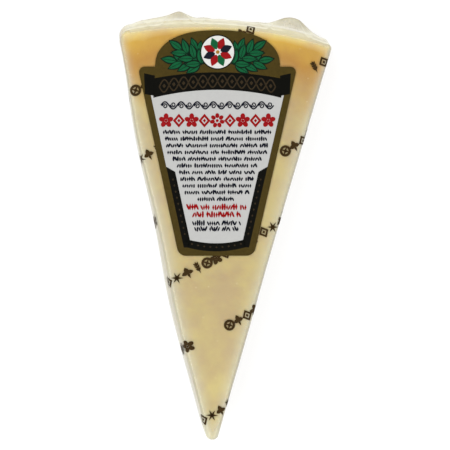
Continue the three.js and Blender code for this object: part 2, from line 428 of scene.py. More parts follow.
def draw_outline(name, inset):
    """Draws the wedge's outline at the foot, smaller than the bag's by `inset`, and fills it."""
    cheese = bpy.context.scene.cheese_wedge
    half = cheese.half_angle
    rounding = cheese.rounding - inset
    right_end, left_end = rind_ends()
    facing_right = -half
    facing_left = math.pi + half
    floor = Vector((0, 0, inset))
    tip = Vector((0, cheese.tip_rounding / math.sin(half), inset))
    tip_radius = cheese.tip_rounding - inset
    right = rind_corner(1).to_3d() + floor
    left = rind_corner(-1).to_3d() + floor
    axis = Vector((cheese.axis_aside, cheese.axis_along, inset))

    def edge_of(centre, facing, radius=rounding):
        return centre + radius * Vector((math.cos(facing), math.sin(facing), 0))

    deselect()
    bpy.ops.mesh.primitive_plane_add(size=MM, location=edge_of(tip, facing_right, tip_radius))
    block = bpy.context.object
    block.name = name
    bpy.ops.object.transform_apply(location=True, rotation=True, scale=True)
    bpy.ops.object.mode_set(mode="EDIT")
    bpy.ops.mesh.select_mode(type="VERT")
    bpy.ops.mesh.merge(type="CENTER")
    extrude_to(edge_of(right, facing_right))
    turn_about(right, facing_right, right_end, RIGHT_STEPS)
    turn_about(axis, right_end, left_end, RIND_STEPS)
    turn_about(left, left_end, facing_left, LEFT_STEPS)
    extrude_to(edge_of(tip, facing_left, tip_radius))
    turn_about(tip, facing_left, 2 * math.pi + facing_right, TIP_STEPS)
    bpy.ops.mesh.select_all(action="SELECT")
    bpy.ops.mesh.remove_doubles(threshold=0.01 * MM)
    bpy.ops.mesh.edge_face_add()
    return block


def wedge_block(name, inset):
    """A closed wedge with rounded rims, smaller than the bag by `inset` all round."""
    cheese = bpy.context.scene.cheese_wedge
    block = draw_outline(name, inset)
    height = cheese.thickness - 2 * inset
    bpy.ops.mesh.extrude_region_move(TRANSFORM_OT_translate={"value": (0, 0, height)})
    select_where("EDGE", lambda e: abs(e.verts[0].co.z - e.verts[1].co.z) < height / 2)
    rounding = cheese.rounding - inset
    rim = rounding - RIM_SPARE
    bpy.ops.mesh.bevel(offset=rim, segments=6, affect="EDGES", clamp_overlap=False)
    bpy.ops.mesh.select_all(action="SELECT")
    bpy.ops.mesh.normals_make_consistent(inside=False)
    half_width = max(rind_corner(1).x, -rind_corner(-1).x) + rounding
    tip = cheese.tip_rounding / math.sin(cheese.half_angle)
    slice_across(0, -half_width, half_width, WEDGE_PITCH)
    slice_across(1, tip, cheese.axis_along + cheese.wheel_radius, WEDGE_PITCH)
    slice_across(2, inset + rim, inset + height - rim, WEDGE_PITCH)
    bpy.ops.object.mode_set(mode="OBJECT")
    return block


def lean_and_bow(point, _):
    """Bends the straight cuts of a block as the real ones are."""
    cheese = bpy.context.scene.cheese_wedge
    x, y, z = point
    far = math.hypot(x, y) / cheese.wheel_radius
    side = x / (y * math.tan(cheese.half_angle))
    left_bulge, right_bulge = bulges(far)
    rightness = ease(side, BOW_FROM, BOW_FULL) * right_bulge
    leftness = ease(-side, BOW_FROM, BOW_FULL) * left_bulge
    footness = 1 - z / cheese.thickness
    lean = cheese.left_lean * swell(far, cheese.lean_skew) * footness
    lean *= min(1, max(0, -side)) ** 2
    across = (rightness - leftness) * math.cos(cheese.half_angle) - lean
    back = (rightness + leftness) * math.sin(cheese.half_angle)
    return Vector((x + across, y - back, z))


def place_and_settle(block):
    """Moves a block from the crossing to its place, and gives it the wedge's soft hills."""
    pick(block)
    bpy.ops.transform.translate(value=crossing())
    bpy.ops.object.transform_apply(location=True, rotation=True, scale=True)
    group = block.vertex_groups.new(name="free")
    for vertex in block.data.vertices:
        # The underside stays flat on the table.
        group.add([vertex.index], ease(vertex.co.z, 1 * MM, 6 * MM), "REPLACE")
    relief(block, HILL_PITCH, HILL_HEIGHT)


# ---- Materials

# How far in from the rind the paste's colour changes
RIPENING_DEPTH = 165 * MM


def new_material(name):
    """An empty material and its node tree."""
    material = bpy.data.materials.new(name)
    material.use_nodes = True
    material.node_tree.nodes.clear()
    return material, material.node_tree


def add(tree, kind, inputs=None, **settings):
    """Adds a shader node. An input is given a value, or what it is linked from: a socket, or a
    node for that node's first output."""
    node = tree.nodes.new("ShaderNode" + kind)
    for name, value in settings.items():
        setattr(node, name, value)
    for name, value in (inputs or {}).items():
        if isinstance(value, bpy.types.Node):
            value = value.outputs[0]
        if isinstance(value, bpy.types.NodeSocket):
            tree.links.new(value, node.inputs[name])
        else:
            node.inputs[name].default_value = value
    return node


def per(size):
    """The scale of a noise whose features are `size` metres across."""
    return 1 / size


def rgba(colour_setting):
    """A colour setting with the alpha that a shader's socket wants."""
    return (*colour_setting, 1)


def ripened(tree, place):
    """The paste's colour by its depth under the rind: from the dry rind through gold to straw."""
    cheese = bpy.context.scene.cheese_wedge
    flat = add(tree, "VectorMath", {0: place, 1: (1, 1, 0)}, operation="MULTIPLY")
    axis = crossing() + Vector((cheese.axis_aside, cheese.axis_along, 0))
    from_axis = add(tree, "VectorMath", {0: flat, 1: axis}, operation="DISTANCE").outputs["Value"]
    rind = cheese.wheel_radius
    depth = add(
        tree, "MapRange",
        {"Value": from_axis, "From Min": rind, "From Max": rind - RIPENING_DEPTH},
    )
    # The ripening front isn't even: it wanders by some millimetres.
    wander = add(tree, "TexNoise", {"Vector": place, "Scale": per(18 * MM), "Detail": 3.0})
    waver = add(
        tree, "MapRange",
        {"Value": wander, "From Min": 0.3, "From Max": 0.7, "To Min": 0.75, "To Max": 1.25},
    )
    uneven_depth = add(tree, "Math", {0: depth, 1: waver}, operation="MULTIPLY")
    ripening = add(tree, "ValToRGB", {"Fac": uneven_depth})
    stops = ripening.color_ramp.elements
    stops[0].color = rgba(cheese.rind)
    stops[1].color = rgba(cheese.heart)
    tints = (
        (1.5, cheese.rind), (4.5, cheese.ripe), (12, cheese.gold), (33, cheese.straw),
        (110, cheese.straw),
    )
    for millimetres, tint in tints:
        stops.new(millimetres * MM / RIPENING_DEPTH).color = rgba(tint)
    return ripening


def blotched(tree, place, paste):
    """Pinker patches of 5 to 15 mm, where curd grains lie in different directions."""
    blotches = add(
        tree, "TexNoise",
        {"Vector": place, "Scale": per(16 * MM), "Detail": 4.0, "Roughness": 0.6},
    )
    share = add(tree, "MapRange", {"Value": blotches, "From Min": 0.37, "From Max": 0.62})
    blotch = rgba(bpy.context.scene.cheese_wedge.blotch)
    return add(
        tree, "Mix", {0: share, MIX_A: paste, MIX_B: blotch},
        data_type="RGBA", blend_type="MULTIPLY",
    ).outputs[MIX_RESULT]


def speckled(tree, place, paste):
    """Crystals that form with age: pale specks half a millimetre across."""
    specks = add(tree, "TexVoronoi", {"Vector": place, "Scale": per(5 * MM)})
    share = add(
        tree, "MapRange",
        {"Value": specks, "From Min": 0.09, "From Max": 0.05, "To Max": 0.2},
    )
    crystal = rgba(bpy.context.scene.cheese_wedge.crystal)
    return add(
        tree, "Mix", {0: share, MIX_A: paste, MIX_B: crystal}, data_type="RGBA"
    ).outputs[MIX_RESULT]


def parmesan_paste():
    """Aged, pressed curd: a waxy, faintly translucent straw yellow, which is gold by the rind."""
    material, tree = new_material("parmesan_paste")
    place = add(tree, "TexCoord").outputs["Object"]
    paste = blotched(tree, place, ripened(tree, place))
    # A painted highlight: the rounded edges of the cuts are painted pale in the paste's colour.
    edge = add(tree, "Attribute", attribute_name="edge").outputs["Fac"]
    painted_edge_highlight = rgba(bpy.context.scene.cheese_wedge.painted_edge_highlight)
    ground = add(
        tree, "Mix", {0: edge, MIX_A: paste, MIX_B: painted_edge_highlight}, data_type="RGBA"
    ).outputs[MIX_RESULT]
    grain = add(tree, "TexNoise", {"Vector": place, "Scale": per(0.9 * MM), "Detail": 3.0})
    bump = add(tree, "Bump", {"Height": grain, "Strength": 0.25, "Distance": 0.08 * MM})
    surface = add(
        tree, "BsdfPrincipled",
        {
            "Base Color": speckled(tree, place, ground),
            "Roughness": 0.48, "IOR": 1.46, "Specular IOR Level": 0.2, "Normal": bump,
            "Subsurface Weight": 0.3, "Subsurface Radius": (1.0, 0.6, 0.3),
            "Subsurface Scale": 1.6 * MM,
        },
    )
    add(tree, "OutputMaterial", {"Surface": surface})
    return material


def milkiness(tree, place, facing):
    """How much of the film is milk rather than clear."""
    # Light that runs aslant through the film meets more of it, so that more milk shows.
    slant = add(
        tree, "MapRange", {"Value": facing, "From Min": 0.4, "From Max": 0.78},
        interpolation_type="SMOOTHSTEP",
    )
    aslant = add(tree, "Attribute", attribute_name="aslant").outputs["Fac"]
    slack = add(tree, "Attribute", attribute_name="slack").outputs["Fac"]
    milk = add(tree, "Math", {0: aslant, 1: slant, 2: slack}, operation="MULTIPLY_ADD")
    cloud = add(
        tree, "TexNoise",
        {"Vector": place, "Scale": per(4 * MM), "Detail": 4.0, "Roughness": 0.6},
    )
    unevenness = add(
        tree, "MapRange",
        {"Value": cloud, "From Min": 0.3, "From Max": 0.7, "To Min": 0.85, "To Max": 1.1},
    )
    clouded = add(tree, "Math", {0: milk, 1: unevenness}, operation="MULTIPLY")
    return add(
        tree, "Math", {0: clouded, 1: 0.85, 2: 0.015}, operation="MULTIPLY_ADD",
        use_clamp=True,
    )


def shrink_film():
    """Clear polyolefin shrink film: seen only by its gloss, which grows to the edges, and by a milky
    haze where it has shrunk thick or hangs slack, and along the rounded rims of the cuts, where the
    milk is partly a painted highlight."""
    film = bpy.context.scene.cheese_film
    material, tree = new_material("polyolefin_shrink_film")
    place = add(tree, "TexCoord").outputs["Object"]
    facing = add(tree, "LayerWeight", {"Blend": 0.5}).outputs["Facing"]
    ripples = add(tree, "TexNoise", {"Vector": place, "Scale": per(3 * MM), "Detail": 2.0})
    bump = add(tree, "Bump", {"Height": ripples, "Strength": 0.2, "Distance": 0.1 * MM})
    steep = add(tree, "Math", {0: facing, 1: 5.0}, operation="POWER")
    gloss_share = add(tree, "Math", {0: steep, 1: 0.2, 2: 0.025}, operation="MULTIPLY_ADD")
    clear = add(tree, "BsdfTransparent")
    gloss = add(
        tree, "BsdfAnisotropic",
        {"Color": (1, 1, 1, 1), "Roughness": 0.28, "Normal": bump},
    )
    glossy = add(tree, "MixShader", {0: gloss_share, 1: clear, 2: gloss})
    tint = rgba(film.slack)
    for name, other in (("taut", film.taut), ("weld", film.seal)):
        share = add(tree, "Attribute", attribute_name=name).outputs["Fac"]
        tint = add(
            tree, "Mix", {0: share, MIX_A: tint, MIX_B: rgba(other)}, data_type="RGBA"
        ).outputs[MIX_RESULT]
    milk = add(
        tree, "BsdfPrincipled",
        {"Base Color": tint, "Roughness": 0.3, "IOR": 1.5, "Normal": bump},
    )
    share = milkiness(tree, place, facing)
    surface = add(tree, "MixShader", {0: share, 1: glossy, 2: milk})
    add(tree, "OutputMaterial", {"Surface": surface})
    return material


def printed(name, setting, roughness=0.38, unevenness=0.12):
    """Ink laid on coated paper or film: flat and even, with a faint mottle and a satin gloss."""
    material, tree = new_material(name)
    place = add(tree, "TexCoord").outputs["Object"]
    mottle = add(
        tree, "TexNoise",
        {"Vector": place, "Scale": per(1.4 * MM), "Detail": 4.0, "Roughness": 0.6},
    )
    lightness = add(
        tree, "MapRange",
        {
            "Value": mottle, "From Min": 0.3, "From Max": 0.7,
            "To Min": 1 - unevenness, "To Max": 1 + unevenness,
        },
    )
    ink = add(tree, "VectorMath", {0: tuple(setting), "Scale": lightness}, operation="SCALE")
    # Fibres of the sheet show through the ink as a fine unevenness.
    fibres = add(tree, "TexNoise", {"Vector": place, "Scale": per(0.6 * MM), "Detail": 2.0})
    bump = add(tree, "Bump", {"Height": fibres, "Strength": 0.15, "Distance": 0.02 * MM})
    surface = add(
        tree, "BsdfPrincipled",
        {
            "Base Color": ink, "Roughness": roughness, "IOR": 1.45, "Specular IOR Level": 0.1,
            "Normal": bump,
        },
    )
    add(tree, "OutputMaterial", {"Surface": surface})
    return material


def opal_acrylic():
    """The cast sheet of a light table: matt, and lit from below, so that shadows stay thin."""
    stage = bpy.context.scene.cheese_stage
    material, tree = new_material("opal_acrylic")
    surface = add(
        tree, "BsdfPrincipled",
        {
            "Base Color": rgba(stage.floor), "Roughness": 0.9,
            "Emission Color": (1, 1, 1, 1), "Emission Strength": stage.floor_glow,
        },
    )
    add(tree, "OutputMaterial", {"Surface": surface})
    return material


def finish(obj, material, node, smooth=True):
    """Ends a piece: its material, its shading, its body, and the node that it stands for."""
    obj.data.materials.clear()
    obj.data.materials.append(material)
    pick(obj)
    if smooth:
        bpy.ops.object.shade_smooth()
    else:
        bpy.ops.object.shade_flat()
    obj.vertex_groups.clear()
    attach(obj, "root")
    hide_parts(node)


def paint_edge_highlight(block):
    """Notes how much painted highlight each point of the cheese gets by the edge of a cut."""
    home = crossing()
    # The "edge" attribute holds the share of painted highlight at each point.
    edge = block.data.attributes.new("edge", "FLOAT", "POINT")
    for vertex in block.data.vertices:
        local = vertex.co - home
        away = max(inside_cuts(local), min(local.z, WEDGE_TOP - local.z))
        strength = border_strength(local, away, PAINTED_HIGHLIGHT_BY_RIND)
        edge.data[vertex.index].value = PAINTED_HIGHLIGHT_SHARE * strength


# ---- The film's end

# Ears of film that the shrinking left standing: place across the rind from -1 to 1, half width
# on the same scale, extra reach and lift. A flatness of 2 is a round ear, less is a pointed one
# and more has a flat top.
EARS = (
    (-0.81, 0.23, 1.1 * MM, 0.9 * MM, 3.9),
    (-0.497, 0.115, 3.5 * MM, 2.8 * MM, 1.7),
    (0.62, 0.17, 5.1 * MM, 4.1 * MM, 2.4),
    (0.84, 0.08, 0.3 * MM, 0.2 * MM, 4.4),
)
# The seal also rises and falls: by how much, how often along the rind, and from where
RIPPLES = ((0.5 * MM, 11, 0), (0.3 * MM, 23, 1))

# Creases of the film's end: place at the seal and slant up to the rim, on the same scale
CREASES = (
    (-0.88, 0.08), (-0.6, -0.09), (-0.44, 0.12), (-0.18, -0.16), (0.24, 0.2), (0.47, -0.1),
    (0.66, 0.13), (0.86, -0.05),
)
CREASE_WIDTH = 0.016
CREASE_RISE = 2.4 * MM
PLEAT_RISE = 0.2 * MM
# Above 1, the film hangs hollow between its seal and the rims of the wall
TENT_HOLLOW = 1.25
# The milky tip: how far its middle is from the crossing, and how far it spreads
TIP_HAZE = 8 * MM
# How far under the upper face the rim turns down, and how far the wall's upper part reaches
RIM_TURN = (-0.3 * MM, 1.8 * MM)
WALL_TURN = (1.8 * MM, 6 * MM)
# How far inside the rind its wall starts and is complete: between the corners and past them,
# where it fades out until this place along the rind
WALL_INSIDE = (2.4 * MM, 0.2 * MM)
CORNER_INSIDE = (5 * MM, 1 * MM)
PAST_CORNER = 1.13

# How much of the film is milk: along the edges of a cut, where it is partly haze and partly a
# painted highlight of the rounded rims, what the rounded rim adds there as painted highlight and
# the wall under it takes away, and at the tip
EDGE_MILK_AND_HIGHLIGHT, RIM_HIGHLIGHT, WALL_LOSS, TIP_MILK = 0.42, 0.24, 0.46, 0.42
# And on the rind's wall: all over, what the seal adds and what the upper part adds
RIND_MILK, SEAL_MILK, UPPER_MILK = 0.32, 0.3, 0.28
# The milk that shows only aslant: on the walls of the cuts and on the rind's wall
CUT_ASLANT, RIND_ASLANT = 0.5, 0.45
# Which share of an ear is taut, and how far it has to reach for that
EAR_TAUT = 0.5
EAR_REACH = (1 * MM, 3.5 * MM)
# From which closeness to the seal the film is welded
WELD_FROM = 0.93


def fin_profile(across):
    """How far the film's end reaches past the rind and how high its edge is, at a place."""
    film = bpy.context.scene.cheese_film
    ends = math.sqrt(max(0, 1 - abs(across) ** film.fin_squareness))
    reach = film.fin_reach
    height = film.fin_height
    for place, width, ear_reach, lift, flatness in EARS:
        share = math.exp(-((abs(across - place) / width) ** flatness))
        reach += ear_reach * share
        height += lift * share
    ripple = sum(lift * math.sin(often * across + start) for lift, often, start in RIPPLES)
    return reach * ends, height + ripple * ends


def share_on_wall(distance, across, down):
    """How far a point counts as the rind's wall, by its distance from the wheel's axis. Past the
    corners, that fades along the cuts and never reaches the upper face."""
    rind = bpy.context.scene.cheese_wedge.wheel_radius
    start, full = WALL_INSIDE if abs(across) < 1 else CORNER_INSIDE
    share = ease(distance, rind - start, rind - full)
    return share if abs(across) < 1 else share * ease(abs(across), PAST_CORNER, 1) * down


def folds(across, closeness):
    """How far pleats and creases raise the film's end; both die out towards its rims."""
    pleats = abs(math.sin(12 * across + 2 * math.sin(5 * across)))
    creases = sum(
        math.exp(-abs(across - place - slant * (1 - closeness)) / CREASE_WIDTH)
        for place, slant in CREASES
    )
    return PLEAT_RISE * pleats * closeness + CREASE_RISE * creases * closeness * (1 - closeness)


def pull_end(obj):
    """Draws the film on the rind's wall out into its sealed fin, and notes where it is milky
    from any side and only aslant, where the milk has its taut shade and where it is welded."""
    cheese = bpy.context.scene.cheese_wedge
    film = bpy.context.scene.cheese_film
    home = crossing()
    axis = Vector((cheese.axis_aside, cheese.axis_along, 0))
    names = ("slack", "aslant", "taut", "weld")
    for name in names:
        obj.data.attributes.new(name, "FLOAT", "POINT")
    slack, aslant, taut, weld = (obj.data.attributes[name].data for name in names)
    for vertex in obj.data.vertices:
        i = vertex.index
        local = vertex.co - home
        # How far over the rounded rim a point is, and then how far down the wall
        below = cheese.thickness - local.z
        down = ease(below, *RIM_TURN)
        low = ease(below, *WALL_TURN)
        border = border_strength(local, inside_cuts(local), MILKY_BY_RIND)
        by_tip = math.exp(-(((local.to_2d().length - TIP_HAZE) / TIP_HAZE) ** 2))
        # Along the cuts the milk is partly the film's haze and partly a painted highlight of the
        # rims.
        milk = (EDGE_MILK_AND_HIGHLIGHT + RIM_HIGHLIGHT * down - WALL_LOSS * low) * border + TIP_MILK * by_tip
        distance, across = from_rind_axis(local)
        on_wall = share_on_wall(distance, across, down)
        reach, height = fin_profile(min(1, max(-1, across)))
        above = local.z > film.fin_height
        room = cheese.thickness - film.fin_height if above else film.fin_height
        closeness = max(0, 1 - abs(local.z - film.fin_height) / room)
        tent = closeness**TENT_HOLLOW
        wall_milk = RIND_MILK + SEAL_MILK * closeness**3 + UPPER_MILK * (1 - low)
        slack[i].value = min(1, max(milk, on_wall * wall_milk))
        aslant[i].value = max(CUT_ASLANT * low * border, on_wall * RIND_ASLANT)
        in_ear = EAR_TAUT * ease(reach * tent, *EAR_REACH)
        taut[i].value = (1 - by_tip) * (1 - on_wall * (1 - in_ear))
        weld[i].value = on_wall * ease(closeness, WELD_FROM, 1)
        if abs(across) < 1:
            out = reach * tent + folds(across, closeness)
            outward = (local - axis).to_2d().normalized() * out * on_wall
            lift = (height - film.fin_height) * closeness**2 * on_wall
            vertex.co += Vector((outward.x, outward.y, lift))


# ---- The wedge and its film


class CHEESE_OT_wedge(bpy.types.Operator):
    """Models the wedge of cheese under the film"""

    bl_idname = "cheese.wedge"
    bl_label = "Cheese Wedge"

    def execute(self, context):
        cheese = context.scene.cheese_wedge
        block = wedge_block("cheese_wedge", cheese.under_film)
        refine(block, 2)
        reshape(block, lean_and_bow)
        place_and_settle(block)
        paint_edge_highlight(block)
        # What the cutting wire leaves: a fine unevenness
        relief(block, 3 * MM, 0.1 * MM)
        finish(block, parmesan_paste(), WEDGE)
        return {"FINISHED"}


class CHEESE_OT_film(bpy.types.Operator):
    """Models the shrink bag"""

    bl_idname = "cheese.film"
    bl_label = "Shrink Bag"

    def execute(self, context):
        film = context.scene.cheese_film
        bag = wedge_block("film_bag", 0)
        edit(bag)
        # Edges close above and below the seal let the film turn sharply there.
        for millimetres in (-3, -1.2, -0.5, 0, 0.5, 1.2, 3):
            cut((0, 0, film.fin_height + millimetres * MM), (0, 0, 1))
        bpy.ops.object.mode_set(mode="OBJECT")
        refine(bag, 2)
        reshape(bag, lean_and_bow)
        place_and_settle(bag)
        pull_end(bag)
        finish(bag, shrink_film(), WEDGE)
        return {"FINISHED"}


# ---- Print


def flat_shape(corners, rounding=0.0):
    """A flat face with the given corners, each rounded off by `rounding`."""
    deselect()
    bpy.ops.mesh.primitive_circle_add(vertices=len(corners), radius=MM, fill_type="NGON")
    shape = bpy.context.object
    for vertex, (x, y) in zip(shape.data.vertices, corners):
        vertex.co = (x, y, 0)
    if rounding:
        edit(shape)
        bpy.ops.mesh.select_all(action="SELECT")
        bpy.ops.mesh.bevel(offset=rounding, segments=6, affect="VERTICES")
        bpy.ops.object.mode_set(mode="OBJECT")
    return shape


def hollow(shape, stroke):
    """Leaves only the rim of a flat face, `stroke` wide."""
    edit(shape)
    bpy.ops.mesh.select_all(action="SELECT")
    bpy.ops.mesh.inset(thickness=stroke)
    bpy.ops.mesh.delete(type="FACE")
    bpy.ops.object.mode_set(mode="OBJECT")
    return shape


def ribbon(steps, stroke, path):
    """A stroke of even width along `path`, which gives a point for each share of the way."""
    deselect()
    bpy.ops.mesh.primitive_grid_add(x_subdivisions=steps, y_subdivisions=1, size=1)
    stripe = bpy.context.object

    def move(co, _):
        share = co.x + 0.5
        here = Vector(path(share))
        along = (Vector(path(share + 1e-3)) - Vector(path(share - 1e-3))).normalized()
        side = stroke / 2 if co.y > 0 else -stroke / 2
        return Vector((here.x - along.y * side, here.y + along.x * side, 0))

    reshape(stripe, move)
    return stripe


def leaf_outline(long, width, points=10):
    """Corners of a pointed leaf that grows from the origin along +X."""
    upper = [
        (long * i / points, width / 2 * math.sin(math.pi * (i / points) ** 0.8))
        for i in range(points + 1)
    ]
    return upper + [(x, -y) for x, y in reversed(upper[1:-1])]


def put(shape, x, y, turn=0.0, size=1.0):
    """Turns, sizes and moves a flat shape."""
    matrix = Matrix.Translation((x, y, 0)) @ Matrix.Rotation(turn, 4, "Z") @ Matrix.Scale(size, 4)
    reshape(shape, lambda co, _: matrix @ co)
    return shape


def mirrored(shape, hand):
    """The same flat shape on the right, or its mirror image on the left where hand is -1."""
    reshape(shape, lambda co, _: Vector((co.x * hand, co.y, co.z)))
    return shape


def copy_of(shape):
    """Another of the same shape, with a mesh of its own."""
    twin = shape.copy()
    twin.data = shape.data.copy()
    bpy.context.collection.objects.link(twin)
    return twin


def joined(name, shapes):
    """Makes one piece of many, its faces all turned up."""
    pick(*shapes)
    if len(shapes) > 1:
        bpy.ops.object.join()
    piece = bpy.context.object
    piece.name = name
    edit(piece)
    select_where("FACE", lambda f: f.normal.z < 0)
    bpy.ops.mesh.flip_normals()
    bpy.ops.object.mode_set(mode="OBJECT")
    return piece


def remove(shapes):
    """Deletes shapes that were only copied from."""
    pick(*shapes)
    bpy.ops.object.delete()


def circle(radius, count=20):
    """Corners of a round shape."""
    turns = [2 * math.pi * i / count for i in range(count)]
    return [(radius * math.cos(t), radius * math.sin(t)) for t in turns]


def lozenge_corners(width, height):
    """Corners of an upright lozenge."""
    return [(width / 2, 0), (0, height / 2), (-width / 2, 0), (0, -height / 2)]


def flower(size, petals=5):
    """Round petals round a dot."""
    parts = [flat_shape(circle(0.1 * size, 8))]
    for i in range(petals):
        turn = math.pi / 2 + 2 * math.pi * i / petals
        petal = flat_shape([(1.25 * x, y) for x, y in circle(0.9 * size / petals, 10)])
        away = 0.31 * size
        parts.append(put(petal, away * math.cos(turn), away * math.sin(turn), turn))
    return parts


def ear(size, stroke):
    """An ear of wheat: grains in pairs up a stalk."""
    stalk = flat_shape(lozenge_corners(stroke, size))
    parts = [put(stalk, 0, -0.04 * size)]
    for i in range(3):
        for hand in (-1, 1):
            grain = flat_shape(leaf_outline(0.34 * size, 0.15 * size, 6))
            turn = math.pi / 2 - hand * 0.62
            parts.append(put(grain, 0, (-0.26 + 0.22 * i) * size, turn))
    top = flat_shape(leaf_outline(0.3 * size, 0.15 * size, 6))
    parts.append(put(top, 0, 0.22 * size, math.pi / 2))
    return parts


def gem(size, stroke):
    """A lozenge with a dot in it."""
    rim = hollow(flat_shape(lozenge_corners(0.86 * size, size)), 0.75 * stroke)
    return [rim, flat_shape(lozenge_corners(0.24 * size, 0.28 * size))]


def wheel(size, stroke):
    """A wheel of cheese, cut in four."""
    parts = [hollow(flat_shape(circle(0.46 * size)), stroke)]
    for turn in (math.pi / 4, -math.pi / 4):
        bar = flat_shape(lozenge_corners(stroke, 0.86 * size))
        parts.append(put(bar, 0, 0, turn))
    return parts


def clover(size, stroke):
    """Three leaves on a stalk."""
    parts = [put(flat_shape(lozenge_corners(stroke, 0.6 * size)), 0, -0.2 * size)]
    for degrees in (-10, 90, 190):
        turn = math.radians(degrees)
        leaf = flat_shape(leaf_outline(0.44 * size, 0.34 * size, 6))
        parts.append(put(leaf, 0, 0.04 * size, turn))
    return parts


def star(size, stroke):
    """Six thin rays."""
    parts = []
    for i in range(3):
        ray = flat_shape(lozenge_corners(1.1 * stroke, size))
        parts.append(put(ray, 0, 0, math.pi * i / 3))
    return parts


def motif_set(stroke):
    """The shapes that one weight of the film's print repeats."""
    tall = bpy.context.scene.cheese_film.motif_height
    return {
        "flower": joined("flower", flower(tall)),
        "ear": joined("ear", ear(tall, stroke)),
        "gem": joined("gem", gem(tall, stroke)),
        "wheel": joined("wheel", wheel(tall, stroke)),
        "clover": joined("clover", clover(tall, stroke)),
        "star": joined("star", star(tall, stroke)),
    }


def finer(shape, pitch):
    """A copy of a flat shape in faces of at most `pitch`, to be bent round an edge."""
    twin = copy_of(shape)
    edit(twin)
    reach = max(twin.dimensions) / 2
    for axis in (0, 1):
        slice_across(axis, -reach, reach, pitch)
    bpy.ops.object.mode_set(mode="OBJECT")
    return twin


# What one group of a row repeats
BOLD_GROUP = ("wheel", "clover", "gem", "flower", "ear", "star", "flower")
FINE_GROUP = ("ear", "gem", "star", "clover", "ear", "wheel", "flower", "gem")

# The film has shrunk unevenly, so its rows aren't quite evenly spaced. For each row: its place
# up the wedge and the start of one group along it, in mm from the crossing.
BOLD_ROWS = ((49, 32.6), (104, -1.7), (157, 45.9))
FINE_ROWS = ((17.5, -1.5), (77.5, 14.9), (130, 25.6), (184, 60))

# Groups tried in each row, either side of that start, and where their motifs may lie: this far
# aside of the crossing and this far past it
GROUPS = range(-4, 5)
PRINT_ASIDE, PRINT_ALONG = 80 * MM, 230 * MM

# How far the print goes on over the rind's edge, and how far it stays away from an upright
# corner, from the foot of a wall and, below, from every edge
OVER_RIND, CORNER_CLEAR, FOOT_CLEAR, EDGE_CLEAR = 3.5 * MM, 4 * MM, 3 * MM, 1 * MM
# Size of the faces of a shape that bends over an edge
BENT_PITCH = 0.8 * MM
INK_LIFT = 0.04 * MM


def beyond(point):
    """How far a point on the upper face lies past the flat part, and the way out from there.
    The third value is how near a second side is."""
    cheese = bpy.context.scene.cheese_wedge
    half = cheese.half_angle
    axis = Vector((cheese.axis_aside, cheese.axis_along))
    right_way = Vector((math.cos(half), -math.sin(half)))
    left_way = Vector((-math.cos(half), -math.sin(half)))
    rind_way = point - axis
    sides = [
        (point.dot(right_way), right_way),
        (point.dot(left_way), left_way),
        (rind_way.length - cheese.wheel_radius, rind_way.normalized()),
    ]
    sides.sort(key=lambda side: -side[0])
    return sides[0][0] + cheese.rounding, sides[0][1], sides[1][0]


def wrapped(point):
    """Where a point of the flat print comes to lie, once the film goes over the edge and down
    the wall. None where it would reach the underside, an upright corner or the rind's wall."""
    cheese = bpy.context.scene.cheese_wedge
    past, way, second = beyond(point)
    if from_rind_axis(point)[0] > cheese.wheel_radius + OVER_RIND:
        return None
    if past <= 0:
        return Vector((point.x, point.y, cheese.thickness))
    if second > -CORNER_CLEAR:
        return None
    start = point - way * past
    turn = min(past / cheese.rounding, math.pi / 2)
    down = cheese.rounding * (1 - math.cos(turn))
    down += max(0, past - cheese.rounding * math.pi / 2)
    if down > cheese.thickness - FOOT_CLEAR:
        return None
    out = start + way * cheese.rounding * math.sin(turn)
    return Vector((out.x, out.y, cheese.thickness - down))


def underside(point):
    """Where a point of the print on the film's lower half lies; None by the edges."""
    past, _, _ = beyond(point)
    if past > -EDGE_CLEAR:
        return None
    return Vector((point.x, point.y, 0))


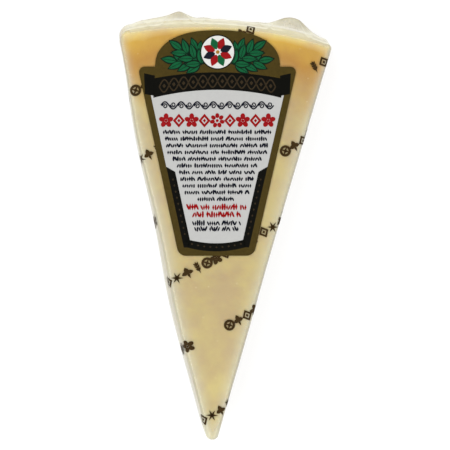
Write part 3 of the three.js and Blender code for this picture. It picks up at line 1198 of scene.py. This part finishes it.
class CHEESE_OT_film_print(bpy.types.Operator):
    """Prints slanting rows of small shapes on the film"""

    bl_idname = "cheese.film_print"
    bl_label = "Film Print"

    def motif_places(self, names, rows, slope):
        """The name and the middle of each motif of one half of the film, laid out flat."""
        film = bpy.context.scene.cheese_film
        along = Vector((math.cos(slope), math.sin(slope)))
        up = Vector((-along.y, along.x))
        for (height, first), repeat in itertools.product(rows, GROUPS):
            start = up * height * MM + along * (first * MM + film.repeat * repeat)
            for i, name in enumerate(names):
                middle = start + along * film.motif_pitch * (i + 0.5)
                if abs(middle.x) <= PRINT_ASIDE and 0 < middle.y < PRINT_ALONG:
                    yield name, middle

    def lay_rows(self, shapes, bent, names, rows, wrap, slope):
        """Copies the motifs onto one half of the film. The ones that go over an edge are copied
        from the finer, bent set."""
        turn = Matrix.Rotation(slope, 2)
        home = crossing()
        laid = []

        def laid_out(shape, middle):
            return [wrap(middle + turn @ v.co.to_2d()) for v in shape.data.vertices]

        for name, middle in self.motif_places(names, rows, slope):
            shape = shapes[name]
            places = laid_out(shape, middle)
            if None in places:
                continue
            if max(p.z for p in places) - min(p.z for p in places) > 0.01 * MM:
                shape = bent[name]
                places = laid_out(shape, middle)
            twin = copy_of(shape)
            for vertex, place in zip(twin.data.vertices, places):
                vertex.co = lean_and_bow(place, None) + home
            laid.append(twin)
        return laid

    def settle(self, ink, context):
        """Lays the joined print on the film, and turns its faces outwards."""
        tree = BVHTree.FromObject(bpy.data.objects["film_bag"], context.evaluated_depsgraph_get())
        for vertex in ink.data.vertices:
            place, normal, _, _ = tree.find_nearest(vertex.co)
            vertex.co = place + normal * INK_LIFT
        mesh = bmesh.new()
        mesh.from_mesh(ink.data)
        mesh.normal_update()
        for face in mesh.faces:
            _, normal, _, _ = tree.find_nearest(face.calc_center_median())
            if face.normal.dot(normal) < 0:
                face.normal_flip()
        mesh.to_mesh(ink.data)
        mesh.free()

    def execute(self, context):
        film = context.scene.cheese_film
        weights = (
            (film.bold_stroke, BOLD_GROUP, BOLD_ROWS),
            (film.fine_stroke, FINE_GROUP, FINE_ROWS),
        )
        laid = []
        for stroke, names, rows in weights:
            shapes = motif_set(stroke)
            bent = {name: finer(shape, BENT_PITCH) for name, shape in shapes.items()}
            laid += self.lay_rows(shapes, bent, names, rows, wrapped, film.slope)
            laid += self.lay_rows(shapes, bent, names, rows, underside, -film.slope)
            remove([*shapes.values(), *bent.values()])
        pick(*laid)
        bpy.ops.object.join()
        ink = context.object
        ink.name = "film_print"
        self.settle(ink, context)
        thicken(ink, INK_THICKNESS)
        finish(ink, printed("flexo_ink_brown", film.ink, 0.5), WEDGE, False)
        return {"FINISHED"}


# The label is cut into squares of this size, so that it can follow the hills, across and up
LABEL_PITCH = 4 * MM
LABEL_SPANS = ((-36 * MM, 36 * MM), (-2 * MM, 98 * MM))

# The middle of the label's black band: its lower and upper edge above the foot
BAND_LOW, BAND_HIGH = 71.2 * MM, 78.6 * MM
BAND_HALF_WIDTH = 27 * MM

# Heights above the label's foot: the middles of the medallion, the scroll and the headline
MEDALLION_MIDDLE, SCROLL_MIDDLE, HEADLINE_MIDDLE = 87.2 * MM, 64.6 * MM, 58.1 * MM

# Where the twigs start, in mm aside of and above the middle of the label's foot
TWIG_ROOT = (6, 81.6)
# Each twig: direction in degrees, length and length of a leaf in mm, and layer
TWIGS = ((9, 12.5, 7.2, 1), (36, 12.2, 7.2, 3), (66, 7.6, 6.2, 1))
# Leaves of a twig: place along it and degrees from its direction
TWIG_LEAVES = ((0.05, 40), (0.1, -40), (0.36, 38), (0.4, -38), (0.66, 34), (0.7, -34), (0.9, 0))


def label_half_width(y):
    """Half the label's width at a height above its foot."""
    label = bpy.context.scene.cheese_label
    return label.shoulder_half_width - (label.shoulder_height - y) * math.tan(label.taper)


def lay_layer(name, shapes, layer, material, thickness=INK_THICKNESS):
    """Joins flat shapes of one colour and sticks them on the wedge, `layer` steps up."""
    label = bpy.context.scene.cheese_label
    piece = joined(name, shapes)
    edit(piece)
    for axis, (low, high) in enumerate(LABEL_SPANS):
        slice_across(axis, low, high, LABEL_PITCH)
    bpy.ops.object.mode_set(mode="OBJECT")
    middle = crossing() + Vector((label.aside, label.along, 0))
    base = LABEL_BASE
    if layer:
        base += LABEL_PAPER + (layer - 1) * LAYER_STEP - LAYER_OVERLAP
    matrix = Matrix.Translation((middle.x, middle.y, base))
    matrix @= Matrix.Rotation(label.turn, 4, "Z")
    matrix @= Matrix.Translation((0, -label.height / 2, 0))
    reshape(piece, lambda co, _: matrix @ co)
    relief(piece, HILL_PITCH, HILL_HEIGHT, "Z")
    thicken(piece, thickness)
    finish(piece, material, LABEL, False)
    return piece


def print_edge(up, inset=0):
    """A point on the print's right edge, in mm above the label's foot and inside that edge."""
    margin = bpy.context.scene.cheese_label.margin
    return label_half_width(up * MM) - margin - inset * MM, up * MM


class CHEESE_OT_label(bpy.types.Operator):
    """Cuts the label's ground"""

    bl_idname = "cheese.label"
    bl_label = "Label"

    def execute(self, context):
        label = context.scene.cheese_label
        high = label.shoulder_height
        foot, shoulder = label_half_width(0), label_half_width(high)
        corners = [(-foot, 0), (foot, 0), (shoulder, high), (-shoulder, high)]
        ground = flat_shape(corners, label.corner)
        edit(ground)
        for hand in (-1, 1):
            cut((hand * label.arch_half_width, 0, 0), (1, 0, 0))

        def is_arch_foot(edge):
            start, end = [v.co for v in edge.verts]
            level = max(abs(start.y - high), abs(end.y - high)) < NEAR
            return level and abs(start.x + end.x) < NEAR

        select_where("EDGE", is_arch_foot)
        bpy.ops.mesh.subdivide(number_cuts=47)
        bpy.ops.object.mode_set(mode="OBJECT")
        rise = label.height - high

        def arch(co, _):
            if abs(co.y - high) > NEAR or abs(co.x) > label.arch_half_width - NEAR:
                return co
            turn = math.pi / 2 * co.x / label.arch_half_width
            power = 2 / label.arch_fullness
            x = math.copysign(label.arch_half_width * abs(math.sin(turn)) ** power, co.x)
            return Vector((x, high + rise * max(0, math.cos(turn)) ** power, 0))

        reshape(ground, arch)
        lay_layer("label_ground", [ground], 0, printed("bronze_ink", label.bronze), LABEL_PAPER)
        return {"FINISHED"}


# Blocks of rows of seeds, in mm: the foot of the upper row, the step down to the next one, the
# pitch and the height of a seed, and the width of each row
NAVY_BLOCKS = (
    (52.2, 2.87, 0.92, 2.2, (46, 44.5, 43, 42, 38, 34, 32, 31, 29, 28, 16.5)),
    (12.9, 2.5, 0.9, 2.7, (20.4, 18.6)),
)
RED_BLOCKS = ((19.6, 3.2, 0.98, 3.1, (25.6, 20.6)),)
# How many seeds are tall, and how tall the others are beside them
TALL_SHARE, SHORT_SIZE = 0.35, 0.82
# How many stand together before a gap, at least and at most: in a row's first run and the others
FIRST_RUN, OTHER_RUNS = (5, 9), (4, 13)


def grains(width, pitch, height, foot, chance):
    """A row of seeds and lozenges in short runs, as busy as small print seen from afar."""
    seed = [(pitch * x, y * height) for x, y in circle(0.5, 8)]
    kinds = [
        flat_shape(seed),
        put(flat_shape(seed), 0, 0, 0.4, 0.95),
        put(flat_shape(seed), 0, 0, -0.4, 0.95),
        flat_shape(lozenge_corners(1.15 * pitch, height)),
    ]
    count = round(width / pitch)
    row = []
    run = chance.randint(*FIRST_RUN)
    for i in range(count):
        kind = chance.choice(kinds)
        size = 1 if chance.random() < TALL_SHARE else SHORT_SIZE
        if run == 0:
            run = chance.randint(*OTHER_RUNS)
            continue
        run -= 1
        x = (i + 0.5 - count / 2) * pitch
        row.append(put(copy_of(kind), x, foot + size * height / 2, 0, size))
    remove(kinds)
    return row


def curved_band(half_width, low, high, columns=24):
    """A band between two curves, each given as its height at a place from -1 to 1."""
    deselect()
    bpy.ops.mesh.primitive_grid_add(x_subdivisions=columns, y_subdivisions=1, size=2)
    band = bpy.context.object

    def bend(co, _):
        edge = high if co.y > 0 else low
        return Vector((co.x * half_width, edge(co.x), 0))

    reshape(band, bend)
    return band


class CHEESE_OT_label_print(bpy.types.Operator):
    """Prints the label: band, frame, panel, leaves, medallion and rows of seeds"""

    bl_idname = "cheese.label_print"
    bl_label = "Label Print"

    def band_and_frame(self, label):
        """The black band under the arch with its turned ends, and the frame round the foot."""
        band = curved_band(
            BAND_HALF_WIDTH,
            lambda x: BAND_LOW - 3.4 * MM * x * x,
            lambda x: BAND_HIGH - 2.6 * MM * x * x,
        )
        turned_end = ((26.4, 68.6), (30.6, 69.4), (30.9, 78.2), (26.4, 77.2))
        side = [print_edge(*p) for p in ((3.6, 0), (38.4, 0), (36.2, 3.3), (3.6, 3.3))]
        ends = []
        for hand in (-1, 1):
            ends.append(flat_shape([(hand * x * MM, y * MM) for x, y in turned_end]))
            ends.append(flat_shape([(hand * x, y) for x, y in side]))
        foot = curved_band(
            print_edge(4)[0],
            lambda x: (1.9 + 2.2 * x * x) * MM,
            lambda x: (5.4 + 2.2 * x * x) * MM,
        )
        lay_layer("label_black", [band, *ends, foot], 2, printed("black_ink", label.black))

    def panel(self, label):
        """The pale panel, whose upper and lower edges lie under the band and the frame."""
        corners = [print_edge(*p) for p in ((7, 1.6), (30, 1.6), (37.5, 0), (73, 0))]
        corners = corners + [(-x, y) for x, y in reversed(corners)]
        low = corners[0][0]
        for i in range(1, 12):
            share = 2 * i / 12 - 1
            corners.append((low * share, (4.6 + 2.4 * share * share) * MM))
        lay_layer(
            "label_panel", [flat_shape(corners)], 1,
            printed("uncoated_white", label.paper, 0.5, 0.02),
        )

    def gold_ornament(self, label):
        """A twist of two strands on the band, and small lozenges down the frame."""
        width = 49 * MM
        turns = 6

        def middle(x):
            return (BAND_LOW + BAND_HIGH) / 2 - 3 * MM * (x / BAND_HALF_WIDTH) ** 2

        def strand(sign):
            def path(share):
                x = (share - 0.5) * width
                swing = 2.6 * MM * math.sin(2 * math.pi * turns * share)
                return x, middle(x) + sign * swing
            return ribbon(144, 0.55 * MM, path)

        strands = [strand(1), strand(-1)]
        stone = flat_shape(lozenge_corners(1.5 * MM, 1.9 * MM))
        stones = []
        for i in range(2 * turns):
            x = width * ((i + 0.5) / (2 * turns) - 0.5)
            stones.append(put(copy_of(stone), x, middle(x)))
        for hand in (-1, 1):
            for i in range(10):
                x, y = print_edge(9.5 + 2.6 * i, 1.65)
                stones.append(put(copy_of(stone), hand * x, y, hand * -label.taper, 0.55))
        for i in range(-4, 5):
            x = 2.6 * i * MM
            y = (3.7 + 2.2 * (i / 5) ** 2) * MM
            stones.append(put(copy_of(stone), x, y, math.pi / 2, 0.55))
        remove([stone])
        lay_layer("label_gold", strands + stones, 3, printed("bronze_line_ink", label.gold))

    def leaf(self, x, y, lean, size, hand):
        """One leaf: a dark outline, and the two green halves on it, either side of the vein."""
        outline = flat_shape(leaf_outline(size * MM, 0.5 * size * MM))
        halves = []
        for side in (-1, 1):
            corners = [(0.45 * MM, side * 0.12 * MM)]
            for i in range(1, 8):
                along = i / 8
                rise = 0.17 * size * math.sin(math.pi * along**0.8)
                corners.append(((0.4 + along * (size - 0.9)) * MM, side * rise * MM))
            corners.append(((size - 0.7) * MM, side * 0.1 * MM))
            halves.append(flat_shape(corners))
        return [mirrored(put(shape, x, y, lean), hand) for shape in (outline, *halves)]

    def leaves(self, label):
        """Three leafy twigs on each side of the medallion, drawn green on a dark outline."""
        root_x, root_y = TWIG_ROOT
        for layer in (1, 3):
            twigs = [twig for twig in TWIGS if twig[3] == layer]
            outlines, halves = [], []
            for hand, (degrees, long, size, _) in itertools.product((-1, 1), twigs):
                turn = math.radians(degrees)
                for share, way in TWIG_LEAVES:
                    x = (root_x + long * share * math.cos(turn)) * MM
                    y = (root_y + long * share * math.sin(turn)) * MM
                    outline, *pair = self.leaf(x, y, turn + math.radians(way), size, hand)
                    outlines.append(outline)
                    halves += pair
            lay_layer(
                f"label_leaf_outline_{layer}", outlines, layer,
                printed("deep_green_ink", label.deep_green),
            )
            lay_layer(
                f"label_leaves_{layer}", halves, layer + 1, printed("green_ink", label.green)
            )

    def medallion(self, label):
        """A round medallion with a folk flower: eight petals, red between navy and green."""
        centre = (0, MEDALLION_MIDDLE)
        for name, radius, layer, ink in (
            ("label_medallion_rim", 7.35 * MM, 5, printed("black_rim_ink", label.black)),
            ("label_medallion", 6.9 * MM, 6, printed("white_ink", label.cream, 0.5, 0.02)),
        ):
            lay_layer(name, [put(flat_shape(circle(radius, 48)), *centre)], layer, ink)
        petals = {"red": [], "navy": [], "green": []}
        for i, name in enumerate(("navy", "red", "green", "red") * 2):
            turn = (i + 0.5) * math.pi / 4
            x = centre[0] + 1.2 * MM * math.cos(turn)
            y = centre[1] + 1.2 * MM * math.sin(turn)
            petal = flat_shape(leaf_outline(5.3 * MM, 3.3 * MM))
            petals[name].append(put(petal, x, y, turn))
        for name, tint in (("red", label.red), ("navy", label.navy), ("green", label.green)):
            lay_layer(f"label_{name}_petals", petals[name], 7, printed(f"{name}_petal_ink", tint))
        heart = put(flat_shape(circle(0.8 * MM, 12)), *centre)
        lay_layer("label_flower_heart", [heart], 8, printed("ochre_ink", label.ochre))

    def headline(self, label):
        """The bold red frieze across the panel: flowers and lozenges in turn."""
        shapes = []
        for i in range(-4, 5):
            tall = 6.8 * MM if i == 0 else 5.9 * MM
            parts = flower(tall, 7 if i == 0 else 5) if i % 2 == 0 else gem(tall, 1.25 * MM)
            for part in parts:
                shapes.append(put(part, 5.4 * i * MM, HEADLINE_MIDDLE))
        lay_layer("label_headline", shapes, 3, printed("red_ink", label.red))

    def scroll(self):
        """A wave that runs above the headline, with a curl in each of its bays."""
        bays = 14
        bay = 3.4 * MM

        def wave(share):
            x = (share - 0.5) * bays * bay
            return x, SCROLL_MIDDLE + 1.5 * MM * math.sin(math.pi * bays * share)

        shapes = [ribbon(168, 0.62 * MM, wave)]
        for i in range(bays):
            up = 1 if i % 2 == 0 else -1

            def curl(share, up=up):
                turn = 2.6 * math.pi * share
                radius = (1.15 - 0.85 * share) * MM
                return -radius * math.cos(turn), up * radius * math.sin(turn)

            x = (i + 0.5 - bays / 2) * bay
            y = SCROLL_MIDDLE - 0.35 * up * MM
            shapes.append(put(ribbon(20, 0.5 * MM, curl), x, y))
        return shapes

    def seeds(self, blocks, chance):
        """Rows of seeds, centred on the label."""
        rows = []
        for top, step, pitch, height, widths in blocks:
            for i, width in enumerate(widths):
                foot = (top - step * i) * MM
                rows += grains(width * MM, pitch * MM, height * MM, foot, chance)
        return rows

    def small_print(self, label):
        """The scroll above the headline, and the rows of seeds below it."""
        chance = random.Random(11)
        shapes = self.scroll() + self.seeds(NAVY_BLOCKS, chance)
        lay_layer("label_small_print", shapes, 3, printed("navy_ink", label.navy))
        reds = self.seeds(RED_BLOCKS, chance)
        lay_layer("label_red_print", reds, 3, printed("red_text_ink", label.red))

    def execute(self, context):
        label = context.scene.cheese_label
        self.band_and_frame(label)
        self.panel(label)
        self.gold_ornament(label)
        self.leaves(label)
        self.medallion(label)
        self.headline(label)
        self.small_print(label)
        return {"FINISHED"}


# Soft boxes round the table: name, direction and watts
LAMPS = (
    ("key_light", 132, 10),
    ("fill_light", 52, 7),
    ("left_light", 222, 8),
    ("front_light", 295, 7.5),
)


class CHEESE_OT_stage(bpy.types.Operator):
    """Sets the table, the lights and the camera"""

    bl_idname = "cheese.stage"
    bl_label = "Stage"

    def lamp(self, stage, name, turn, power):
        """A soft box that faces the wedge from one direction round it."""
        place = (
            stage.lamp_aside * math.cos(turn), stage.lamp_aside * math.sin(turn), stage.lamp_height
        )
        deselect()
        bpy.ops.object.light_add(type="AREA", location=place)
        lamp = bpy.context.object
        lamp.name = name
        lamp.rotation_euler = Vector(place).to_track_quat("Z", "Y").to_euler()
        lamp.data.shape = "SQUARE"
        lamp.data.size = stage.lamp_width
        lamp.data.energy = power

    def world(self, context):
        """Bright walls and a dimmer ceiling, so that flat gloss seen from above stays dark."""
        sky = context.scene.world or bpy.data.worlds.new("studio")
        context.scene.world = sky
        sky.use_nodes = True
        tree = sky.node_tree
        tree.nodes.clear()
        way = add(tree, "TexCoord").outputs["Generated"]
        height = add(tree, "SeparateXYZ", {0: way}).outputs["Z"]
        strength = add(
            tree, "MapRange",
            {"Value": height, "From Min": 0.55, "From Max": 0.88, "To Min": 0.82, "To Max": 0.12},
            interpolation_type="SMOOTHSTEP",
        )
        glow = add(tree, "Background", {"Strength": strength})
        add(tree, "OutputWorld", {"Surface": glow})

    def camera(self, context):
        """A long lens almost straight above."""
        stage = context.scene.cheese_stage
        aim = crossing() + Vector((stage.aim_aside, stage.aim_along, stage.aim_height))
        back = Vector((-math.tan(stage.tilt_aside), math.tan(stage.tilt_along), 1)).normalized()
        level = Vector((0, 1, 0)).cross(back).normalized()
        upright = back.cross(level)
        right = math.cos(stage.roll) * level + math.sin(stage.roll) * upright
        up = math.cos(stage.roll) * upright - math.sin(stage.roll) * level
        deselect()
        bpy.ops.object.camera_add(location=aim + back * stage.distance)
        camera = context.object
        camera.rotation_euler = Matrix((right, up, back)).transposed().to_euler()
        camera.data.lens = stage.lens
        camera.data.sensor_width = 36
        camera.data.clip_end = 20
        context.scene.camera = camera

    def execute(self, context):
        stage = context.scene.cheese_stage
        deselect()
        # The table lies a hair under the pack, so that their faces don't meet.
        bpy.ops.mesh.primitive_plane_add(size=stage.floor_size, location=(0, 0, -0.05 * MM))
        floor = context.object
        floor.name = "table"
        floor.data.materials.append(opal_acrylic())
        self.world(context)
        for name, degrees, power in LAMPS:
            self.lamp(stage, name, math.radians(degrees), power)
        self.camera(context)
        context.scene.view_settings.view_transform = "Standard"
        return {"FINISHED"}


class CHEESE_PT_panel(bpy.types.Panel):
    """Lists the steps and their settings in the sidebar"""

    bl_label = "Parmesan Wedge"
    bl_idname = "CHEESE_PT_panel"
    bl_space_type = "VIEW_3D"
    bl_region_type = "UI"
    bl_category = "Cheese"

    def draw(self, context):
        for key, operators in STEPS:
            box = self.layout.box()
            settings = getattr(context.scene, key)
            for name in settings.__annotations__:
                box.prop(settings, name)
            for operator in operators:
                box.operator(operator.bl_idname)


STEPS = (
    ("cheese_wedge", (CHEESE_OT_wedge,)),
    ("cheese_film", (CHEESE_OT_film, CHEESE_OT_film_print)),
    ("cheese_label", (CHEESE_OT_label, CHEESE_OT_label_print)),
    ("cheese_stage", (CHEESE_OT_stage,)),
)
SETTINGS = {
    "cheese_wedge": CheeseSettings,
    "cheese_film": FilmSettings,
    "cheese_label": LabelSettings,
    "cheese_stage": StageSettings,
}
OPERATORS = [operator for _, operators in STEPS for operator in operators]


def register():
    for key, group in SETTINGS.items():
        bpy.utils.register_class(group)
        setattr(bpy.types.Scene, key, PointerProperty(type=group))
    for operator in OPERATORS:
        bpy.utils.register_class(operator)
    bpy.utils.register_class(CHEESE_PT_panel)


def unregister():
    bpy.utils.unregister_class(CHEESE_PT_panel)
    for operator in reversed(OPERATORS):
        bpy.utils.unregister_class(operator)
    for key, group in SETTINGS.items():
        delattr(bpy.types.Scene, key)
        bpy.utils.unregister_class(group)


def main():
    register()
    bpy.ops.cheese.wedge()
    bpy.ops.cheese.film()
    bpy.ops.cheese.film_print()
    bpy.ops.cheese.label()
    bpy.ops.cheese.label_print()
    bpy.ops.cheese.stage()


if __name__ == "__main__":
    main()
